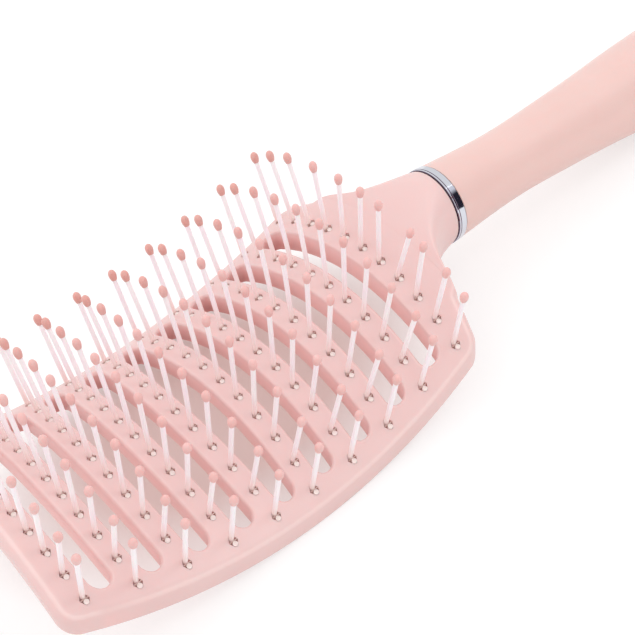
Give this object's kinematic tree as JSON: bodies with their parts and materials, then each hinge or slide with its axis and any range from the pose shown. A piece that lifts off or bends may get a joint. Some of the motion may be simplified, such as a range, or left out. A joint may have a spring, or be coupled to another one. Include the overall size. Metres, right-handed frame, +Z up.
{
  "type": "detangling brush",
  "caption": "Vented detangling hair brush: arched slotted head with rows of ball-tipped pins, collar ring and round handle.",
  "frame": {"origin": "centre of the bounding box's footprint, on the surface the brush lies on", "axes": "+X along the brush from the head's tip to the handle's end, +Y across the head, +Z up on the pin side"},
  "size_m": [0.2397, 0.0804, 0.0489],
  "materials": {
    "head_plastic": "soft-touch matt",
    "handle_plastic": "soft-touch matt",
    "collar_chrome": "polished plating",
    "pin_nylon": "clear satin",
    "bead_nylon": "glossy",
    "anchor_steel": "drawn wire"
  },
  "bodies": {
    "root": {"anchors_row_01": "anchor_steel", "anchors_row_02": "anchor_steel", "anchors_row_03": "anchor_steel", "anchors_row_04": "anchor_steel", "anchors_row_05": "anchor_steel", "anchors_row_06": "anchor_steel", "anchors_row_07": "anchor_steel", "anchors_row_08": "anchor_steel", "anchors_row_09": "anchor_steel", "anchors_row_10": "anchor_steel", "ball_tips_row_01": "bead_nylon", "ball_tips_row_02": "bead_nylon", "ball_tips_row_03": "bead_nylon", "ball_tips_row_04": "bead_nylon", "ball_tips_row_05": "bead_nylon", "ball_tips_row_06": "bead_nylon", "ball_tips_row_07": "bead_nylon", "ball_tips_row_08": "bead_nylon", "ball_tips_row_09": "bead_nylon", "ball_tips_row_10": "bead_nylon", "collar_ring": "collar_chrome", "handle": "handle_plastic", "head_frame": "head_plastic", "pins_row_01": "pin_nylon", "pins_row_02": "pin_nylon", "pins_row_03": "pin_nylon", "pins_row_04": "pin_nylon", "pins_row_05": "pin_nylon", "pins_row_06": "pin_nylon", "pins_row_07": "pin_nylon", "pins_row_08": "pin_nylon", "pins_row_09": "pin_nylon", "pins_row_10": "pin_nylon"}
  },
  "joints": []
}
